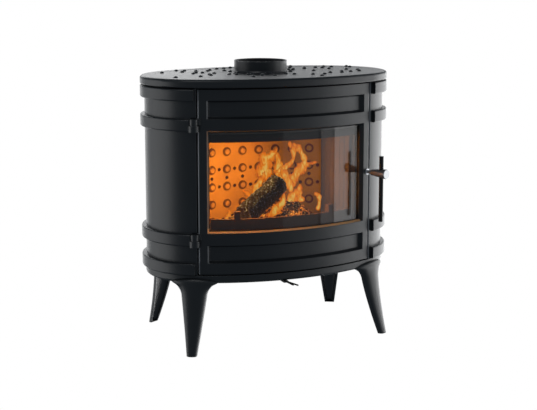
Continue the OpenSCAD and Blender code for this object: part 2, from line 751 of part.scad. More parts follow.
slide_top = base_top - base_plate_t - seat;
slide_w = 2 * slot_pitch + slot_w + 48;
slide_d = slot_l + 24;
lever_z = leg_h - slide_t - 1.5;
lever_x = -30;
lever_w = 14;
fork = [[45, 19], [74, 31]];    // direction and length of the fork's prongs
fork_dip = 20;     // degrees, the prongs point down
guide_w = 5;
module air_slide() {
    tip_y = -half_d - 4;
    slide_front = slot_y - slide_d / 2;
    color(dark_iron) {
        difference() {
            translate([-slide_w / 2, slide_front, slide_top - slide_t])
                cube([slide_w, slide_d, slide_t]);
            for (i = slots) translate([i * slot_pitch - slot_w / 2, slot_y - slot_l / 2,
                slide_top - slide_t - lap])
                cube([slot_w, slot_l, slide_t + 2 * lap]);
        }
        // The arm steps down and runs out under the rim; it ends in a fork that leans right.
        translate([lever_x, slide_front + 2, lever_z]) cube([lever_w, slide_t, slide_top - lever_z]);
        translate([lever_x, tip_y, lever_z]) cube([lever_w, slide_front + 6 - tip_y, slide_t]);
        for (prong = fork) translate([lever_x + 9, tip_y + 4, lever_z + 0.5])
            rotate([0, 0, prong[0]]) rotate([fork_dip, 0, 0]) {
                translate([-3.5, -prong[1], 0]) cube([7, prong[1], slide_t - 1]);
                translate([0, -prong[1], 0]) cylinder(d = 7, h = slide_t - 1);
            }
    }
}
module air_slide_guides() {
    color(dark_iron) for (side = [-1, 1]) translate([0, slot_y + side * (slide_d / 2 + 0.5), 0])
        mirror([0, side < 0 ? 1 : 0, 0]) {
            translate([-slide_w / 2, 0, slide_top - slide_t - 2 * seat - 3])
                cube([slide_w, guide_w, slide_t + 3 * seat + 3]);
            if (side > 0) translate([-slide_w / 2, -6, slide_top - slide_t - 2 * seat - 3])
                cube([slide_w, guide_w + 4, 3]);
            if (side < 0) for (x = [-slide_w / 2, slide_w / 2 - 30])
                translate([x, -6, slide_top - slide_t - 2 * seat - 3]) cube([30, guide_w + 4, 3]);
        }
}

// ---------------------------------------------------------------- door
// A cut whose walls slope inward by the draft, as a pattern maker leaves them.
module drafted_cut(z0, z1, depth) {
    k = tan(draft);
    deep_deg = window_deg - asin(depth * k / (face_r - depth));
    far = 90;
    far_deg = window_deg + asin(far * k / (face_r + far));
    function plan(deg, off) = [(face_r + off) * sin(deg), face_y - (face_r + off) * cos(deg)];
    // A point a tenth past b on the line from a, so that the walls cross the floor of the cut.
    function past(a, b) = b + (b - a) / 10;
    intersection() {
        front_arc(joint_deg) polygon([[lap, z0 - lap * k], [lap, z1 + lap * k],
            [-depth, z1 - depth * k], [-depth, z0 + depth * k]]);
        translate([0, 0, z0 - lap]) linear_extrude(z1 - z0 + 2 * lap)
            polygon([plan(-far_deg, far), plan(far_deg, far),
                past(plan(far_deg, far), plan(deep_deg, -depth)), [0, face_y - face_r / 2],
                past(plan(-far_deg, far), plan(-deep_deg, -depth))]);
    }
}
// Rectangle on the curved door, from one offset to another.
module face_block(half_deg, off0, off1, z0, z1) { front_arc(half_deg) box2d(off0, off1, z0, z1); }

door_low = base_top + door_gap;
door_high = body_top - door_gap;
glass_z0 = window_bottom - glass_cover + recess_d * tan(draft);
glass_z1 = window_top + glass_cover - recess_d * tan(draft);
clamp_edge = 11;    // clamp bars beyond the glass, above and below
rope_low = base_top + 5;
rope_high = lining_top + 8;

// Loop of square packing, or the groove for it when it is let out by the play.
module rope_path(play = 0) {
    play_deg = asin(play / face_r);
    off0 = door_back - rope_w + rope_deep - 2 * play;
    difference() {
        face_block(rope_deg + play_deg, off0, door_back + rope_deep + play, rope_low - play, rope_high + play);
        face_block(rope_in_deg - play_deg, off0 - lap, door_back + rope_deep + lap,
            rope_low + rope_w + play, rope_high - rope_w - play);
    }
}
module edge_rounding(side) {
    at_face(side * door_deg, 0, door_low - lap) mirror([side < 0 ? 1 : 0, 0, 0]) difference() {
        translate([-door_round, -lap, 0])
            cube([door_round + 3, door_round + lap, door_high - door_low + 2 * lap]);
        translate([-door_round, door_round, -lap])
            cylinder(r = door_round, h = door_high - door_low + 4 * lap);
    }
}
module door_frame() {
    color(iron) difference() {
        union() {
            difference() {
                face_block(door_deg, door_back, 0, door_low, door_high);
                for (side = [-1, 1]) edge_rounding(side);
                drafted_cut(low_panel_z, low_panel_z + low_panel_h, recess_d);
                drafted_cut(high_panel_z, high_panel_z + high_panel_h, recess_d);
                drafted_cut(window_bottom, window_top, recess_d + 2);
                // Pocket behind the window for the gasket, the glass and its clamp bars.
                face_block(pocket_deg, door_back - lap, -recess_d, glass_z0 - clamp_edge - 0.6,
                    glass_z1 + clamp_edge + 0.6);
                // Hollow back below the window and above the rope.
                face_block(clear_deg, door_back - lap, -recess_d - 6, rope_low + rope_w + 6,
                    glass_z0 - clamp_edge - 9);
                face_block(clear_deg, door_back - lap, -recess_d - 6, rope_high + 8, door_high - 12);
                rope_path(2 * running);
                for (z = hinge_levels) barrel(z - knuckle_h - knuckle_play,
                    barrel_body_d + 2 * knuckle_play, knuckle_h + knuckle_play + washer_t / 2);
            }
            for (z = hinge_levels) {
                barrel(z + washer_t + seat / 2, barrel_door_d, knuckle_h - washer_t - seat / 2);
                at_face(-hinge_deg, hinge_out, z + washer_t + seat / 2)
                    cube([hinge_side + door_gap + door_round + 2, hinge_out + lug_in,
                        knuckle_h - washer_t - seat / 2]);
            }
        }
        for (z = hinge_levels) pin_bore(z, knuckle_h - pin_blind);
        at_shaft() translate([0, 0, -door_t - lap])
            cylinder(d = shaft_d + 2 * running, h = door_t + 2 * lap);
    }
}
module glass_gasket() {
    color([0.75, 0.74, 0.70]) difference() {
        face_block(glass_deg, glass_front, -recess_d, glass_z0, glass_z1);
        face_block(clear_deg + 0.1, glass_front - lap, lap - recess_d, glass_z0 + glass_cover - 1,
            glass_z1 - glass_cover + 1);
    }
}
module door_glass() {
    color([0.75, 0.45, 0.20, 0.35]) face_block(glass_deg, glass_back, glass_front, glass_z0, glass_z1);
}
clamp_screw_x = [-190, -68, 68, 190];
clamp_screw_z = [glass_z0 - clamp_edge / 2, glass_z1 + clamp_edge / 2];
module glass_clamps() {
    color(dark_iron) difference() {
        for (z = [glass_z0 - clamp_edge, glass_z1 - glass_cover + 1])
            face_block(glass_deg, door_back + 1, glass_back, z, z + clamp_edge + glass_cover - 1);
        for (x = clamp_screw_x) for (z = clamp_screw_z) at_face(face_deg(x), 0, z) rotate([90, 0, 0])
            translate([0, 0, door_back - lap]) cylinder(d = 5 + 2 * seat, h = door_t);
    }
}
module clamp_screws() {
    color(steel) for (x = clamp_screw_x) for (z = clamp_screw_z) at_face(face_deg(x), door_back + 1, z)
        rotate([90, 0, 0]) mirror([0, 0, 1]) screw(5, door_t - 1 - recess_d - 0.5, 8.5, 2.2);
}
module door_seal() { color([0.62, 0.61, 0.58]) rope_path(); }

// ---------------------------------------------------------------- hinges
module hinge_pins() {
    color(steel) for (z = hinge_levels)
        barrel(z - knuckle_h + pin_blind, pin_d, barrel_h - 2 * pin_blind - 0.5);
}
module hinge_washers() {
    color([0.72, 0.55, 0.25]) for (z = hinge_levels) at_face(-hinge_deg, hinge_out, z)
        ring(barrel_door_d / 2 - 1, pin_d / 2 + 2 * running, washer_t);
}

// ---------------------------------------------------------------- handle and latch
tongue_w = 10;
tongue_t = 5;
tongue_mid = (frame_front + frame_back) / 2 + 1;
keeper_low = tongue_l + 3;
keeper_high = 8;
keeper_deep = tongue_t + 2;
keeper_t = 3;
nut_t = 5;
hub_wall = 1.8;
// Turned stem: [height above the face, radius], from the door out to the cap.
stem_steps = [[0.3, 8.5], [3, 8.5], [4, 5.5], [11, 4.6], [20, 8.6], [33, 9.2], [35, 10.8],
    [bar_out + bar_d / 2 + 1.7, 11.6]];
stem_end = stem_steps[len(stem_steps) - 1][0];
module handle_stem() {
    color(steel) at_shaft() difference() {
        union() {
            rotate_extrude() polygon(concat([[0, stem_steps[0][0]]],
                [for (s = stem_steps) [s[1], s[0]]], [[0, stem_end]]));
            translate([0, 0, tongue_mid - tongue_t / 2 - nut_t - 1])
                cylinder(d = shaft_d, h = -tongue_mid + tongue_t / 2 + nut_t + 2);
        }
        translate([0, -tongue_l, bar_out]) rotate([-90, 0, 0])
            cylinder(d = bar_d + 2 * running, h = 2 * tongue_l);
    }
}
module handle_bar() {
    color([0.05, 0.05, 0.055]) at_shaft() translate([0, -bar_down, bar_out]) rotate([-90, 0, 0])
        cylinder(d = bar_d, h = bar_up + bar_down);
}
module handle_cap() {
    edge = 1.2;
    color(steel) at_shaft() translate([0, 0, stem_end]) {
        cylinder(d = cap_d, h = cap_t - edge);
        translate([0, 0, cap_t - edge]) cylinder(d1 = cap_d, d2 = cap_d - 2 * edge, h = edge);
    }
}
// The tongue hangs down at rest, clear of its keeper, and turns a quarter to the right.
module latch_tongue() {
    color(steel) at_shaft() translate([0, 0, tongue_mid - tongue_t / 2]) difference() {
        union() {
            translate([-tongue_w / 2, -tongue_l + tongue_w / 2, 0])
                cube([tongue_w, tongue_l - tongue_w / 2, tongue_t]);
            translate([0, -tongue_l + tongue_w / 2, 0]) cylinder(d = tongue_w, h = tongue_t);
            cylinder(r = shaft_d / 2 + hub_wall, h = tongue_t);
        }
        translate([0, 0, -lap]) cylinder(d = shaft_d + 2 * running, h = tongue_t + 2 * lap);
    }
}
module latch_nut() {
    color(steel) at_shaft() translate([0, 0, tongue_mid - tongue_t / 2 - nut_t]) difference() {
        cylinder(r = shaft_d / 2 + hub_wall, h = nut_t, $fn = 6);
        translate([0, 0, -lap]) cylinder(d = shaft_d + 2 * running, h = nut_t + 2 * lap);
    }
}
// Hardened plate behind the flange of the side casting, with a slot for the turned tongue.
module at_keeper() { at_face(joint_deg, tongue_mid, shaft_z) children(); }
module keeper_slot() {
    translate([-lap, -keeper_deep / 2, -keeper_low])
        cube([wall + keeper_t + 2 * lap, keeper_deep, keeper_low + keeper_high]);
}
// The plate lies on the inner side of the flange, which leans by flange_deg.
module latch_keeper() {
    centre = end_r + tongue_mid;
    color(steel) at_keeper() difference() {
        translate([0, centre, 0]) rotate([0, 0, flange_deg])
            translate([running, -centre - keeper_deep / 2 - 5, -keeper_low - 7])
                cube([keeper_t, keeper_deep + 10, keeper_low + keeper_high + 14]);
        keeper_slot();
    }
}

base_plate();
leg_front_left();
leg_front_right();
leg_rear_left();
leg_rear_right();
leg_bolts();
side_left();
side_right();
back_panel();
front_frame();
top_plate();
flue_collar();
collar_bolts();
tie_rods();
fire_back();
liner_left();
liner_right();
baffle_plate();
hearth_plate();
fire_grate();
log_retainer();
firewood_log();
ember_bed();
ash_pan();
air_slide();
air_slide_guides();
door_frame();
glass_gasket();
door_glass();
glass_clamps();
clamp_screws();
door_seal();
hinge_pins();
hinge_washers();
handle_stem();
handle_bar();
handle_cap();
latch_tongue();
latch_nut();
latch_keeper();
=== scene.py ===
import json
import math
import random

import bpy
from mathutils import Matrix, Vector, noise

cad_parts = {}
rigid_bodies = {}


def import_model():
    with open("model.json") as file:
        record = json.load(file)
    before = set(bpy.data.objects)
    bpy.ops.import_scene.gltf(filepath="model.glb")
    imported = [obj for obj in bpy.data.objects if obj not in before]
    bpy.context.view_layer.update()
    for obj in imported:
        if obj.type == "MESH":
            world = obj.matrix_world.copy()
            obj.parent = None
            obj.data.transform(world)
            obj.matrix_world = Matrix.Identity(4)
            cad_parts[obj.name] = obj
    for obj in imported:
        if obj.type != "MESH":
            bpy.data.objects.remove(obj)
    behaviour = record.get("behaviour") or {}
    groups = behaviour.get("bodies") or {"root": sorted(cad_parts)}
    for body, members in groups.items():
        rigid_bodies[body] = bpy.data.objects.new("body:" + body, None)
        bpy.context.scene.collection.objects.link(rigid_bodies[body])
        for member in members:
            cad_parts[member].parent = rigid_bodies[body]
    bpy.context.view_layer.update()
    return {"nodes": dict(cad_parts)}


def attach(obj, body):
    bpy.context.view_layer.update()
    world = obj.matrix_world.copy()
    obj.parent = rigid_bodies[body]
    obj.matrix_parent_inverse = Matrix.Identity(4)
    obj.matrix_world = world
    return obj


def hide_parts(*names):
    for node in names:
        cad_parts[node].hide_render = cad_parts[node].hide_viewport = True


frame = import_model()
NODES = frame["nodes"]

# ---- body castings: base, left end, back, top plate, flue collar ------------------------------
# Sand-cast iron in satin black stove paint. Four tie rods clamp the ends and the back between the
# base and the top plate; the collar is bolted on. The sand leaves a pebbled grain.
STOVE_BLACK = (0.0095, 0.0120, 0.0142)
PATCHES, PEBBLES, GRAIN = 7.0, 260.0, 900.0    # clouds for each metre
PEBBLE_HEIGHT = 0.00035
MOTTLING = (0.86, 1.12)


class Socket:
    """A value in a node tree; + - * / and the methods below work on it with Math nodes."""

    def __init__(self, nodes, out):
        self.nodes, self.out = nodes, out

    def beside(self, out):
        """Another output of the same node."""
        return Socket(self.nodes, self.out.node.outputs[out])

    def maths(self, operation, *values):
        return self.nodes.add("ShaderNodeMath", 0, {"operation": operation}, dict(enumerate(values)))

    def __add__(self, other):
        return self.maths("ADD", self, other)

    def __radd__(self, other):
        return self.maths("ADD", other, self)

    def __sub__(self, other):
        return self.maths("SUBTRACT", self, other)

    def __rsub__(self, other):
        return self.maths("SUBTRACT", other, self)

    def __mul__(self, other):
        return self.maths("MULTIPLY", self, other)

    def __rmul__(self, other):
        return self.maths("MULTIPLY", other, self)

    def __truediv__(self, other):
        return self.maths("DIVIDE", self, other)

    def __rtruediv__(self, other):
        return self.maths("DIVIDE", other, self)

    def power(self, other):
        return self.maths("POWER", self, other)

    def sine(self):
        return self.maths("SINE", self)

    def arctan(self, other):
        return self.maths("ARCTAN2", self, other)

    def absolute(self):
        return self.maths("ABSOLUTE", self)

    def fraction(self):
        return self.maths("FRACT", self)

    def step(self, low, high, to_low=0.0, to_high=1.0):
        """Runs smoothly from to_low to to_high as the value goes from low to high."""
        return self.nodes.add(
            "ShaderNodeMapRange", "Result", {"interpolation_type": "SMOOTHSTEP"},
            {"Value": self, "From Min": low, "From Max": high, "To Min": to_low, "To Max": to_high})


class Nodes:
    """A node tree while it is being wired."""

    def __init__(self, tree):
        self.tree = tree

    def plug(self, slot, value):
        """Links a Socket to a node's input, or sets the input to a plain value."""
        if isinstance(value, Socket):
            self.tree.links.new(value.out, slot)
        else:
            slot.default_value = value

    def add(self, kind, out=0, settings=(), inputs=()):
        """Adds a node: its settings, or a ramp's stops, then its inputs by name or number."""
        node = self.tree.nodes.new(kind)
        for name, value in dict(settings).items():
            if name != "stops":
                setattr(node, name, value)
                continue
            elements = node.color_ramp.elements
            while len(elements) < len(value):
                elements.new(0.5)
            for element, (position, colour) in zip(elements, value):
                element.position, element.color = position, (*colour, 1.0)
        for name, value in dict(inputs).items():
            self.plug(node.inputs[name], value)
        return Socket(self, node.outputs[out])


class Finish(Nodes):
    """A piece's material: a Principled BSDF whose inputs are set by name."""

    def __init__(self, name, **inputs):
        self.material = bpy.data.materials.new(name)
        self.material.use_nodes = True
        super().__init__(self.material.node_tree)
        self.principled = self.tree.nodes["Principled BSDF"]
        self.set(**inputs)

    def set(self, **inputs):
        for name, value in inputs.items():
            self.plug(self.principled.inputs[name.replace("_", " ")], value)

    def place(self, axis=None):
        """Object coordinates, or one of their axes (0, 1 or 2)."""
        whole = self.add("ShaderNodeTexCoord", "Object")
        return whole if axis is None else self.add("ShaderNodeSeparateXYZ", axis, (), {"Vector": whole})

    def noise(self, scale, detail=3.0, roughness=0.55):
        """Cloudy noise; scale is in clouds for each metre."""
        return self.add("ShaderNodeTexNoise", "Fac", (), {
            "Vector": self.place(), "Scale": scale, "Detail": detail, "Roughness": roughness})

    def colours(self, value, *stops):
        """A colour ramp over a value; a stop is (position, (red, green, blue))."""
        return self.add("ShaderNodeValToRGB", "Color", {"stops": stops}, {"Fac": value})

    def blend(self, share, one, other):
        """Runs from one colour to the other as share goes from 0 to 1."""
        one, other = (c if isinstance(c, Socket) else (*c, 1.0) for c in (one, other))
        return self.add("ShaderNodeMix", 2, {"data_type": "RGBA"}, {0: share, 6: one, 7: other})

    def bump(self, height, distance, strength=1.0, **under):
        """Raises the surface by height times a distance in metres, on top of another Normal."""
        self.set(Normal=self.add("ShaderNodeBump", 0, (), {
            "Height": height, "Distance": distance, "Strength": strength, **under}))


class CastSurface(Finish):
    """Sand-cast iron: a pebbled grain, slow patches of sheen, rounded edges."""

    def __init__(self, name, roughness, edge_radius=0.0012, gloss=0.5):
        super().__init__(name, Specular_IOR_Level=gloss)
        self.patches = self.noise(PATCHES, 2.0)
        grain = self.noise(GRAIN, 2.0, 0.6)
        pebbles = self.noise(PEBBLES, 3.0, 0.6)
        rounded = self.add("ShaderNodeBevel", 0, {"samples": 4}, {"Radius": edge_radius})
        self.set(Roughness=self.patches * 0.07 + pebbles * 0.08 + roughness)
        self.bump(pebbles * 0.7 + grain * 0.3, PEBBLE_HEIGHT, 0.55, Normal=rounded)

    def mottled(self, colour):
        """A colour that is a little darker or lighter in the patches."""
        darker, lighter = (tuple(c * share for c in colour) for share in MOTTLING)
        return self.colours(self.patches, (0.35, darker), (0.7, lighter))


def stove_paint(name):
    """The body's paint, thick and satin, on edges rounded by about 2 mm."""
    paint = CastSurface(name, 0.30, edge_radius=0.0022, gloss=1.0)
    paint.tone = paint.mottled(STOVE_BLACK)
    paint.set(Base_Color=paint.tone)
    return paint


def dress(finish, *names):
    """Gives CAD nodes their finish."""
    for name in names:
        mesh = NODES[name].data
        mesh.materials.clear()
        mesh.materials.append(finish.material)


iron = stove_paint("iron")
dress(iron, "base_plate", "side_left", "back_panel", "top_plate", "flue_collar")

# ---- legs -----------------------------------------------------------------------------------------
# Four splayed, hollow legs of the same painted cast iron, bolted up into the base. Each is a copy
# of its CAD node with the loose triangles joined, so that it is smooth but for its sharp edges.
SHARP_EDGE = math.radians(38.0)


def new_piece(name, verts, faces, finish):
    """An object of one smooth-shaded mesh, at the origin."""
    mesh = bpy.data.meshes.new(name)
    mesh.from_pydata([tuple(v) for v in verts], [], faces)
    mesh.materials.append(finish.material)
    mesh.shade_smooth()
    piece = bpy.data.objects.new(name, mesh)
    bpy.context.collection.objects.link(piece)
    return piece


def joined(mesh):
    """A mesh's vertices without doubles, and for each old vertex the number of the new one."""
    numbers, verts, new_number = {}, [], []
    for vertex in mesh.vertices:
        key = tuple(round(c, 5) for c in vertex.co)
        if key not in numbers:
            numbers[key] = len(verts)
            verts.append(vertex.co.copy())
        new_number.append(numbers[key])
    return verts, new_number


for leg in ("leg_front_left", "leg_front_right", "leg_rear_left", "leg_rear_right"):
    verts, new_number = joined(NODES[leg].data)
    rings = [[new_number[i] for i in face.vertices] for face in NODES[leg].data.polygons]
    faces = [ring for ring in rings if len(set(ring)) == len(ring)]
    smooth_leg = new_piece(leg + "_smooth", verts, faces, iron)
    smooth_leg.data.set_sharp_from_angle(angle=SHARP_EDGE)
    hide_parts(leg)
    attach(smooth_leg, "root")

# ---- right end casting ----------------------------------------------------------------------------
# Painted cast iron like the left end, with a painted highlight, a paler tone, on the flange that the door
# closes against.
# Between its two lower bands the CAD node's mesh cuts across the round wall, so a joined copy of
# the node has that wall laid anew in upright strips.
WALL_X, WALL_RADIUS = 0.1884622, 0.1605378
WALL_EDGES = (0.246, 0.293)
OFF_ROUND, OFF_LEVEL = 3e-5, 1e-5
ACROSS_FLANGE = (0.9, 0.43)
HIGHLIGHT_TO, PAINTED_FROM = 0.1694, 0.1700
FLANGE_HIGHLIGHT = (0.70, 0.705, 0.71)


def wall_level(co):
    """0 or 1 for a vertex on the lower or upper edge of the wall, else None."""
    if abs(math.hypot(co.x - WALL_X, co.y) - WALL_RADIUS) < OFF_ROUND:
        for level, z in enumerate(WALL_EDGES):
            if abs(co.z - z) < OFF_LEVEL:
                return level
    return None


fitted = stove_paint("iron_fitted")
# Painted highlight: the front of the flange beside the door is paler, in place of light falling on it.
outward = fitted.place(0) * ACROSS_FLANGE[0] + fitted.place(1) * ACROSS_FLANGE[1]
flange_highlight = outward.step(HIGHLIGHT_TO, PAINTED_FROM, 1.0, 0.0)
fitted.set(Base_Color=fitted.blend(flange_highlight, fitted.tone, FLANGE_HIGHLIGHT))

source = NODES["side_right"].data
shading = [tuple(corner.vector) for corner in source.corner_normals]
verts, new_number = joined(source)
faces, normals, edges = [], [], ({}, {})
for face in source.polygons:
    ring = [new_number[i] for i in face.vertices]
    levels = [wall_level(verts[i]) for i in ring]
    if None not in levels and len(set(levels)) == 2:
        for i, level in zip(ring, levels):
            edges[level][math.atan2(verts[i].y, verts[i].x - WALL_X)] = i
    elif len(set(ring)) == len(ring):
        faces.append(ring)
        normals += [shading[i] for i in face.loop_indices]
lower, upper = (sorted(edge.items()) for edge in edges)
for (turn_a, a), (turn_b, b), (_, c), (_, d) in zip(lower, lower[1:], upper, upper[1:]):
    faces.append([a, b, d, c])
    out_a, out_b = ((math.cos(turn), math.sin(turn), 0.0) for turn in (turn_a, turn_b))
    normals += [out_a, out_b, out_b, out_a]
right_end = new_piece("side_right_relaid", verts, faces, fitted)
right_end.data.normals_split_custom_set(normals)
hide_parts("side_right")
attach(right_end, "root")

# ---- inner front, hearth, grate, air slide and its guides, glass clamps ---------------------------
# Unpainted iron, darkened by the heat. The inner front and the hearth stand on the base, the grate
# lies in a seat in the hearth, the slide runs between its guides under the base, and the clamp
# bars are screwed to the door behind the glass.
bare = CastSurface("bare_iron", 0.55)
bare.set(Base_Color=bare.mottled((0.030, 0.026, 0.023)))
dress(bare, "front_frame", "hearth_plate", "fire_grate", "air_slide", "air_slide_guides", "glass_clamps")

# ---- log retainer ---------------------------------------------------------------------------------
# The low curved casting with two posts that keeps the logs off the door. It stands on the hearth
# close to the fire, unpainted and rusted brown.
rusted = CastSurface("rusted_iron", 0.5)
rusted.set(Base_Color=rusted.mottled((0.26, 0.13, 0.08)))
dress(rusted, "log_retainer")

# ---- fire back ------------------------------------------------------------------------------------
# A curved casting that stands on the hearth, with four rows of round bosses and with air holes
# among the two middle rows. It is amber, paler to the left; painted shade darkens a ring round each
# boss and the holes, and faint patches of soot lie over it.
BOSS_PITCH, ROW_PITCH_MM, SECOND_ROW_Z = 0.0515, 51.0, 0.402
BACK_RADIUS, BACK_CENTRE_Y = 0.522, -0.397
AMBER_LEFT, AMBER_RIGHT = (0.55, 0.31, 0.055), (0.34, 0.22, 0.010)
SHADE_AND_SOOT = (0.050, 0.012, 0.002)
SHADE_FROM_MM, SHADE_TO_MM = (5.5, 9.5), (12.8, 14.2)    # from the middle of a boss


def between(value, low, high, soft=0.0004):
    """1 where a value lies between two others, fading to 0 beyond them."""
    return value.step(low - soft, low) * value.step(high, high + soft, 1.0, 0.0)


def air_hole(across, up):
    """1 inside an air hole, from the distances to its middle as shares of the pitch."""
    return (across * across + up * up).power(0.5).step(0.08, 0.12, 1.0, 0.0)


amber_back = CastSurface("fire_back", 0.6)
column = amber_back.place(0).arctan(amber_back.place(1) - BACK_CENTRE_Y) * (BACK_RADIUS / BOSS_PITCH)
row = (amber_back.place(2) - SECOND_ROW_Z) / (ROW_PITCH_MM / 1000)
cell_x, cell_z = column.fraction() - 0.5, (row + 0.5).fraction() - 0.5
from_boss = (cell_x * cell_x + cell_z * cell_z).power(0.5) * ROW_PITCH_MM
# Painted shade: a dark ring in the crease round each boss, and the air holes painted dark.
crease_shade = from_boss.step(*SHADE_FROM_MM) * from_boss.step(*SHADE_TO_MM, 1.0, 0.0)
half_x, half_z = 0.5 - cell_x.absolute(), 0.5 - cell_z.absolute()
beside_boss = air_hole(half_x, cell_z) * between(row, -0.2, 1.2, 0.1)
above_boss = air_hole(cell_x, half_z) * between(row, 0.3, 0.7, 0.1)
hole_and_ring_shade = crease_shade * 0.85 + beside_boss + above_boss
film = amber_back.noise(9.0, 3.0).step(0.45, 0.75) * 0.2
amber_tone = amber_back.blend(amber_back.place(0).step(0.02, 0.12), AMBER_LEFT, AMBER_RIGHT)
amber_back.set(Base_Color=amber_back.blend(hole_and_ring_shade + film * (1.0 - hole_and_ring_shade), amber_tone, SHADE_AND_SOOT))
dress(amber_back, "fire_back")

# ---- side liners and baffle -----------------------------------------------------------------------
# Cast plates that line the two ends of the firebox and cover it, darker than the fire back. The
# liners stand on the hearth, and the baffle lies on them.
lining = CastSurface("liner", 0.6)
lining.set(Base_Color=lining.mottled((0.10, 0.062, 0.034)))
dress(lining, "liner_left", "liner_right", "baffle_plate")

# ---- fasteners, hinge, latch ----------------------------------------------------------------------
# Bolts, tie rods, clamp screws, hinge pins and washers, and the latch's tongue, nut and keeper.
# Plain turned steel, dulled by the heat.
steel = Finish("plain_steel", Metallic=1.0, Base_Color=(0.36, 0.36, 0.37, 1.0))
steel.set(Roughness=steel.noise(120.0) * 0.2 + 0.3)
dress(steel, "leg_bolts", "collar_bolts", "tie_rods", "clamp_screws", "hinge_pins", "hinge_washers",
      "latch_tongue", "latch_nut", "latch_keeper")

# ---- ash pan --------------------------------------------------------------------------------------
# A tray folded from one sheet of steel, dull black and scuffed. It stands on runners under the
# grate and comes out through the lower mouth of the inner front.
pan = Finish("pan_steel", Base_Color=(0.03, 0.03, 0.032, 1.0))
pan.set(Roughness=pan.noise(40.0) * 0.3 + 0.35)
dress(pan, "ash_pan")

# ---- door casting ---------------------------------------------------------------------------------
# One curved casting in the body's paint, hung on two pins. The lower and upper walls of its window
# are painted in firelight and its left wall with a painted highlight; painted highlights also lie on
# its hinge edge and on the left walls of its two recessed panels.
FACE_RADIUS, FACE_CENTRE_Y = 0.600, 0.397
OPENING_X = 0.2325
WINDOW = (0.3262, 0.6058)
LOWER_PANEL, UPPER_PANEL = (0.2455, 0.2935), (0.6375, 0.6865)
HINGE_EDGE = (-0.256, -0.2497)

door_paint = stove_paint("door_paint")
x, y, z = (door_paint.place(axis) for axis in range(3))
depth = FACE_RADIUS - (x * x + (y - FACE_CENTRE_Y) * (y - FACE_CENTRE_Y)).power(0.5)

# Painted light: firelight on the sill and lintel, and a painted highlight on the jamb, the panel walls and
# the hinge edge.
sill_firelight = between(depth, 0.001, 0.009) * between(x, -OPENING_X, 0.224) * between(z, WINDOW[0], 0.340)
jamb_highlight = between(depth, 0.0008, 0.0065) * between(x, -OPENING_X, -0.2) * between(z, *WINDOW)
lintel_firelight = between(depth, 0.0006, 0.005) * between(x, -OPENING_X, 0.0, 0.1) * between(z, 0.59, WINDOW[1])
panel_wall_highlight = (between(depth, 0.0008, 0.0105) * between(x, -OPENING_X, -0.2268)
              * (between(z, *LOWER_PANEL) + between(z, *UPPER_PANEL)))
hinge_edge_highlight = between(x, *HINGE_EDGE) * depth.step(0.0, 0.0006)
tone = door_paint.blend(jamb_highlight, door_paint.tone, (0.30, 0.24, 0.20))
tone = door_paint.blend(lintel_firelight * 0.5, tone, (0.34, 0.21, 0.12))
tone = door_paint.blend(sill_firelight, tone, (0.80, 0.46, 0.22))
tone = door_paint.blend(panel_wall_highlight * 0.9, tone, (0.32, 0.325, 0.33))
door_paint.set(Base_Color=door_paint.blend(hinge_edge_highlight, tone, (0.50, 0.505, 0.51)))
dress(door_paint, "door_frame")

# ---- door packing and glass gasket ----------------------------------------------------------------
# Braided glass-fibre cord, pale grey, with a slanting weave: one loop in a groove at the door's
# back, and one between the door and its glass.
THREADS = 1500.0

braid = Finish("seal", Roughness=0.9)
weave = (braid.place(0) * THREADS + braid.place(2) * THREADS).sine() * (
    braid.place(0) * THREADS - braid.place(2) * THREADS).sine()
braid.set(Base_Color=braid.colours(weave * 0.5 + 0.5, (0.0, (0.20, 0.19, 0.17)), (1.0, (0.45, 0.43, 0.40))))
braid.bump(weave, 0.0006)
dress(braid, "glass_gasket", "door_seal")

# ---- glass ----------------------------------------------------------------------------------------
# A curved pane of heat-resistant glass with a faint amber tint, held by a clamp bar above and one
# below. A high index makes it mirror as strongly as in the photo.
glass = Finish("glass", Base_Color=(0.030, 0.022, 0.016, 1.0), Roughness=0.03, IOR=2.6, Alpha=0.3)
dress(glass, "door_glass")

# ---- handle ---------------------------------------------------------------------------------------
# A turned stem of brushed steel with an end cap. The hand bar, a straight rod in black enamel,
# passes through the stem.
brushed = Finish("handle_steel", Metallic=1.0, Base_Color=(0.70, 0.71, 0.73, 1.0))
brushed.set(Roughness=brushed.noise(350.0) * 0.12 + 0.30)
dress(brushed, "handle_stem", "handle_cap")
enamel = Finish("handle_black", Base_Color=(0.012, 0.012, 0.013, 1.0), Roughness=0.22)
dress(enamel, "handle_bar")

# ---- log ------------------------------------------------------------------------------------------
# A half-burnt round of firewood, charred and cracked, with pale blue specks on it that are partly ash and
# partly painted glints, and fire in its cracks.
# It lies askew on the embers, in place of the CAD's plain cylinder.
LOG_START = Vector((-0.090, -0.056, 0.344))
LOG_ALONG = Vector((0.800, 0.400, 0.447)).normalized()
LOG_LENGTH, LOG_RADIUS = 0.176, 0.0335
BURNT_OFF, SLANTED_END = 0.007, 0.006
ROUND_LOG, ALONG_LOG = 72, 84
BARK_CELL, BARK_ALONG, BARK_ROUND = 0.03, 28.0, 1.7
CORE, RIDGE, SWELL = 0.86, 0.075, 0.045    # shares of the radius
END_SHARE, END_TAPER = 0.72, 16


def bark_radius(along, angle):
    """Radius of the charred log: ridges between cracks, with a slower swell."""
    where = Vector((along * BARK_ALONG, math.cos(angle) * BARK_ROUND, math.sin(angle) * BARK_ROUND))
    near = noise.voronoi(where)[0]
    ridge = min(1.0, (near[1] - near[0]) * 3.2)
    swell = noise.noise(where * 0.45)
    return LOG_RADIUS * (CORE + RIDGE * ridge + SWELL * swell)


